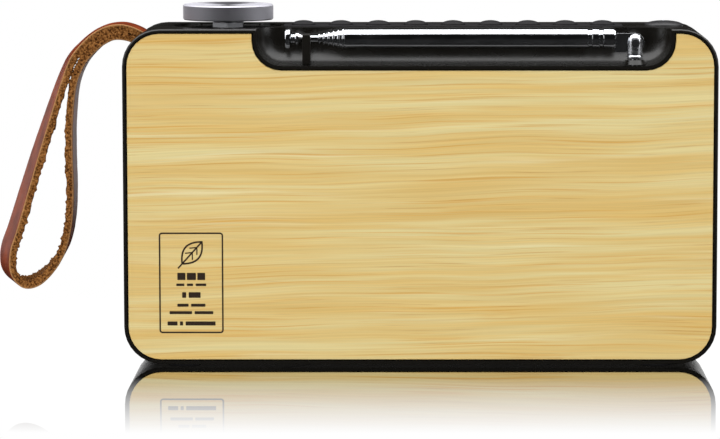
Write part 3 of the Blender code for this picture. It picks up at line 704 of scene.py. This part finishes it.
# The antenna stands on a chromed knuckle with a slot for the tongue. It turns in a black collar in the
# floor of the trough, and a small screw through it is the fold axle.
satin_chrome = chromed("satin_chrome", "#e4e6ea", 0.17)
knuckle = softened("antenna_knuckle", "swivel_knuckle", 0.12 * MM, satin_chrome, segments=2, angle=38)
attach(knuckle, "antenna_base")
tongue = softened("antenna_tongue", "tube_tongue", 0.15 * MM, chrome, segments=2, angle=38)
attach(tongue, "antenna_arm")


def bright_steel(name, colour, roughness, scratch_mm):
    """Plain steel with fine rolling marks."""
    made, tree, shader = new_finish(name, {"Base Color": tint(colour), "Metallic": 1.0})
    place = in_millimetres(tree, (1, 1, 5))
    marks = noise_of(tree, place, 1 / scratch_mm, 4)
    dull = add(tree, "ShaderNodeMapRange", {
        "Value": marks, "To Min": roughness - 0.08, "To Max": roughness + 0.12,
    }).outputs["Result"]
    tree.links.new(dull, shader.inputs["Roughness"])
    emboss(tree, shader, marks, 0.15, 0.02)
    return made


steel = bright_steel("bright_steel", "#9d9ea2", 0.3, 0.4)
screw = softened("pivot_screw", "fold_screw", 0.1 * MM, steel, segments=2, angle=38)
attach(screw, "antenna_base")
collar = softened("antenna_foot", "swivel_collar", 0.2 * MM, abs_black, segments=2)
clip = softened("antenna_clip", "rod_clip", 0.2 * MM, abs_black, segments=2)
for piece in (collar, clip):
    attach(piece, "case")


# ------------------------------------------------------------ leather strap
# One strip of vegetable tanned leather, 15 mm wide, smooth and red brown outside, with cut edges and a
# rough flesh side. Both ends go through the slot in the corner of the case and wrap round a steel pin.
# Its sizes are in millimetres.
STRAP_W, STRAP_T, NAP = 15.0, 2.3, 0.45  # NAP closes the gap where the two runs lie on each other
FLARE, LOWEST = 4.7, 0.44  # the far edge hangs this much wider, this share of the way round the loop
DOUBLED, DOUBLED_FADE = 0.17, 0.04  # shares of the way round where the runs lie together, and part
HAND_LOOP = (
    (-93.6, 107.3), (-97.0, 107.8), (-101.0, 107.1), (-105.0, 104.9), (-108.6, 101.5),
    (-111.8, 97.3), (-114.4, 90.7), (-118.0, 79.6), (-121.9, 67.2), (-125.6, 54.8),
    (-129.3, 42.5), (-131.7, 35.0), (-131.6, 28.5), (-128.4, 24.6), (-123.9, 25.2),
    (-119.0, 30.0), (-115.6, 36.5), (-113.7, 45.0), (-113.1, 55.0), (-113.3, 67.0),
    (-113.1, 78.0), (-111.9, 89.0), (-109.2, 96.0), (-105.9, 100.2), (-102.5, 103.1),
    (-98.6, 104.9), (-94.5, 104.7),
)
pin_low, pin_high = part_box("strap_pin")
pin = Vector(((pin_low.x + pin_high.x) / 2 - mid_x, 0, (pin_low.z + pin_high.z) / 2)) / MM
OUT = Vector((-0.9, 0, 0.436)).normalized()  # along the slot
UP = Vector((0.436, 0, 0.9)).normalized()  # across it
PIN_WRAP_R, SKIVED_T = 1.75, 1.1  # the ends are pared thin where they wrap round the pin
ALONG_STEPS, EDGE_STEPS, FLESH_STEPS, GRAIN_STEPS = 12, 6, 36, 14

wrap = [pin + UP * 1.25 + OUT * 6.6, pin + UP * 1.3 + OUT * 3.4]
for angle in (0, 0.8, 1.57, 2.34, 3.14):
    wrap.append(pin + (UP * math.cos(angle) - OUT * math.sin(angle)) * PIN_WRAP_R)
wrap += [pin - UP * 1.3 + OUT * 3.4, pin - UP * 1.25 + OUT * 6.6]
loop_points = [Vector((x, 0, z)) for x, z in HAND_LOOP]
closed_route = loop_points + wrap[::-1]


def through(points, steps):
    """A closed smooth curve through the points, with how far round the loop each place is."""
    curve = []
    for i in range(len(points)):
        a, b, c, d = (points[(i + k) % len(points)] for k in (-1, 0, 1, 2))
        for step in range(steps):
            t = step / steps
            place = 0.5 * (
                2 * b + (c - a) * t + (2 * a - 5 * b + 4 * c - d) * t**2 + (3 * b - a - 3 * c + d) * t**3
            )
            curve.append((place, (i + t) / (len(loop_points) - 1)))
    return curve


def flare(share):
    """How far the far edge stands out, at this share of the way round the hand loop."""
    reach = 0.46 if share < LOWEST else 0.2
    t = min(abs(share - LOWEST) / reach, 1.0)
    return FLARE * math.cos(t * math.pi / 2) ** 2


def ring_of(thick):
    """The strip's cross section: (across, height, cut 0-1, pale line 0-1), once round."""
    half_w, half_t, corner = STRAP_W / 2, thick / 2, 0.3
    ring = []
    for step in range(GRAIN_STEPS + 1):
        across = -half_w + corner + (STRAP_W - 2 * corner) * step / GRAIN_STEPS
        ring.append((across, half_t, 0, 0))
    ring.append((half_w - corner * 0.25, half_t - corner * 0.25, 0.5, 1))
    for step in range(EDGE_STEPS + 1):
        height = half_t - corner - (thick - 1.5 * corner) * step / EDGE_STEPS
        ring.append((half_w, height, 1, 0.6 if step == 0 else 0))
    for step in range(FLESH_STEPS + 1):
        ring.append((half_w - 0.15 - (STRAP_W - 0.3) * step / FLESH_STEPS, -half_t, 1, 0))
    for step in range(EDGE_STEPS + 1):
        height = -half_t + corner * 0.5 + (thick - 1.5 * corner) * step / EDGE_STEPS
        ring.append((-half_w, height, 1, 0.6 if step == EDGE_STEPS else 0))
    ring.append((-half_w + corner * 0.25, half_t - corner * 0.25, 0.5, 1))
    return ring


def frayed(place, across):
    """How far the fibres stand out of a cut or flesh surface at this place, in millimetres."""
    lumps = 0.16 * noise.noise(place / 1.3)
    tufts = max(0.0, noise.noise(place / 0.62 + Vector((31, 7, 3))) - 0.05)
    near_edge = min(1.0, max(0.0, (abs(across) - 4.5) / 2.6))
    return lumps + (0.45 + 0.75 * near_edge) * tufts


route = through(closed_route, ALONG_STEPS)
count = len(route)
cells = len(ring_of(STRAP_T))
bpy.ops.object.select_all(action="DESELECT")
bpy.ops.mesh.primitive_grid_add(x_subdivisions=count, y_subdivisions=cells, size=1)
strap = bpy.context.object
strap.name = strap.data.name = "wrist_strap"
cut_value = strap.data.attributes.new("cut", "FLOAT", "POINT")
line_value = strap.data.attributes.new("pale_line", "FLOAT", "POINT")
cut_list = [0.0] * len(strap.data.vertices)
line_list = [0.0] * len(strap.data.vertices)
columns = {}
for vertex in strap.data.vertices:
    columns.setdefault(round(vertex.co.x * count + count / 2), []).append(vertex)
for column, members in columns.items():
    place, share = route[column % count]
    before, after = route[(column - 1) % count][0], route[(column + 1) % count][0]
    ahead = (after - before).normalized()
    outward = Vector((ahead.z, 0, -ahead.x))
    to_pin = (place - pin).length
    bare = min(1.0, max(0.0, (to_pin - 2.2) / 5.0))
    thick = SKIVED_T + (STRAP_T - SKIVED_T) * bare
    ring = ring_of(thick)
    spread = flare(share) if share <= 1 else 0
    from_end = min(share, 1 - share)
    doubled = min(1.0, max(0.0, (DOUBLED - from_end) / DOUBLED_FADE)) if share <= 1 else 0
    for vertex in members:
        number = round(vertex.co.y * cells + cells / 2) % cells
        across, height, cut, line = ring[number]
        spot = place + outward * height + Vector((-spread * (across / STRAP_W + 0.5), across, 0))
        if cut == 1 and bare > 0.99:
            fray = frayed(spot, across)
            if abs(abs(across) - STRAP_W / 2) < 0.05:
                spot.y += math.copysign(0.35 * fray, across)
            else:
                spot -= outward * (fray + NAP * doubled)
        elif cut == 0:
            spot += outward * 0.05 * noise.noise(spot / 2.5)
        vertex.co = Vector((spot.x * MM + mid_x, spot.y * MM, spot.z * MM))
        cut_list[vertex.index], line_list[vertex.index] = cut, line
cut_value.data.foreach_set("value", cut_list)
line_value.data.foreach_set("value", line_list)
bpy.ops.object.mode_set(mode="EDIT")
bpy.ops.mesh.select_all(action="SELECT")
bpy.ops.mesh.remove_doubles(threshold=0.002 * MM)
bpy.ops.mesh.normals_make_consistent(inside=False)
bpy.ops.object.mode_set(mode="OBJECT")
bpy.ops.object.shade_smooth_by_angle(angle=math.radians(60))

leather, tree, shader = new_finish("vegetable_tanned_leather", {"IOR": 1.45, "Specular IOR Level": 0.06})
place = in_millimetres(tree)
cut = add(tree, "ShaderNodeAttribute", attribute_name="cut").outputs["Fac"]
line = add(tree, "ShaderNodeAttribute", attribute_name="pale_line").outputs["Fac"]
grain_ramp = shaded(tree, noise_of(tree, place, 0.12, 4), tint("#642711"), tint("#883b1b"), 0.35, 0.7)
speck = noise_of(tree, place, 1.5, 4, Roughness=0.7)
flesh_ramp = shaded(tree, speck, tint("#241206"), tint("#b27c45"), 0.36, 0.68)
flesh_ramp.color_ramp.elements.new(0.48).color = tint("#6d431e")
skin = add(tree, "ShaderNodeMix", {0: cut}, data_type="RGBA")
tree.links.new(grain_ramp.outputs["Color"], skin.inputs[6])
tree.links.new(flesh_ramp.outputs["Color"], skin.inputs[7])
pale = add(tree, "ShaderNodeMath", {0: line, 1: 0.75}, operation="MULTIPLY").outputs[0]
skin_line = add(tree, "ShaderNodeMix", {0: pale}, data_type="RGBA")
tree.links.new(skin.outputs[2], skin_line.inputs[6])
skin_line.inputs[7].default_value = tint("#b98e60")
tree.links.new(skin_line.outputs[2], shader.inputs["Base Color"])
dull = add(tree, "ShaderNodeMapRange", {"Value": cut, "To Min": 0.46, "To Max": 0.92}).outputs["Result"]
tree.links.new(dull, shader.inputs["Roughness"])
pores = add(tree, "ShaderNodeTexVoronoi", {"Vector": place, "Scale": 1.8}).outputs["Distance"]
relief = add(tree, "ShaderNodeMix", {0: cut, 2: pores, 3: speck}).outputs[0]
emboss(tree, shader, relief, 0.35, 0.12)
strap.data.materials.append(leather)
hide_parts("strap_loop", "strap_tail")
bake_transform(strap)


# ------------------------------------------------------------ loudspeaker grille and display, at the front
# A tight woven cloth over the loudspeaker, and a smoked acrylic window over the display.
THREAD_MM = 1.5  # coarser than the real weave, so that it shows
weave, tree, shader = new_finish("woven_polyester", {"Roughness": 0.85, "Specular IOR Level": 0.3})
parts = add(tree, "ShaderNodeSeparateXYZ", {"Vector": in_millimetres(tree)}).outputs
threads = []
for axis in ("X", "Z"):
    turns = {0: parts[axis], 1: 2 * math.pi / THREAD_MM}
    turns = add(tree, "ShaderNodeMath", turns, operation="MULTIPLY").outputs[0]
    threads.append(add(tree, "ShaderNodeMath", {0: turns}, operation="SINE").outputs[0])
cross = add(tree, "ShaderNodeMath", {0: threads[0], 1: threads[1]}, operation="MULTIPLY").outputs[0]
raised = add(tree, "ShaderNodeMapRange", {"Value": cross, "From Min": -1, "From Max": 1}).outputs["Result"]
# Painted shade: the cloth is coloured darker in the hollows of the weave and lighter on the raised threads.
ramp = shaded(tree, raised, tint("#0d0d0f"), tint("#3a3a3e"))
tree.links.new(ramp.outputs["Color"], shader.inputs["Base Color"])
emboss(tree, shader, cross, 0.8, 0.25)
grille = softened("speaker_grille", "grille_cloth", 0.4 * MM, weave, segments=2)
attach(grille, "case")

smoked = new_finish("smoked_acrylic", {"Base Color": tint("#08090b"), "Roughness": 0.06, "IOR": 1.49})[0]
window = softened("display_window", "display_glass", 0.35 * MM, smoked, segments=3)
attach(window, "case")


# ------------------------------------------------------------ feet, sockets, screws and the works inside
# Four turned rubber feet. The rest keeps its solid as it is and only gets its finish: steel and black
# plastic fittings, circuit boards, cells in shrink wrap and a pressed paper cone.
for number in range(1, 5):
    low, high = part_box(f"rubber_foot_{number}")
    centre = (low + high) / 2
    radius = (high.x - low.x) / 2
    foot = turned_piece(f"foot_pad_{number}", (centre.x, centre.y, 0), (0, 0, 1), [
        (0, high.z), (radius, high.z), (radius, 0.35 * MM), (radius - 0.1 * MM, 0.12 * MM),
        (radius - 0.4 * MM, 0), (radius - 1.4 * MM, 0), (radius - 1.6 * MM, 0.15 * MM), (0, 0.15 * MM),
    ], sides=48)
    foot.data.materials.append(rubber)
    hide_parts(f"rubber_foot_{number}")
    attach(foot, "case")

inside_black = moulded_black("moulded_inside", "#1b1a1a", 0.55, 0.6, 0.05)
board_green, tree, shader = new_finish("solder_resist", {"Roughness": 0.35})
place = in_millimetres(tree)
patch = add(tree, "ShaderNodeTexVoronoi", {"Vector": place, "Scale": 0.35}).outputs["Distance"]
ramp = shaded(tree, patch, tint("#0d4a2a"), tint("#14693c"))
tree.links.new(ramp.outputs["Color"], shader.inputs["Base Color"])
shrink = mottled("shrink_wrap", 0.3, "#1d4f8f", "#2a66ad", 0.2)
paper = mottled("pressed_paper", 0.9, "#141415", "#2c2c2e", 1.2, detail=5)

KEPT = (
    (board_green, ("main_board", "key_board", "port_board")),
    (shrink, ("battery_cell_1", "battery_cell_2")),
    (inside_black, ("battery_bracket", "headphone_jack", "display_module")),
    (paper, ("speaker_cone",)),
    (steel, (
        "speaker_basket", "speaker_magnet", "usb_port", "encoder_body", "encoder_nut", "encoder_shaft",
        "strap_pin", "antenna_retainer", "case_screw_1", "case_screw_2", "case_screw_3", "case_screw_4",
    )),
)
for finish, names in KEPT:
    for name in names:
        nodes[name].data.materials.clear()
        nodes[name].data.materials.append(finish)
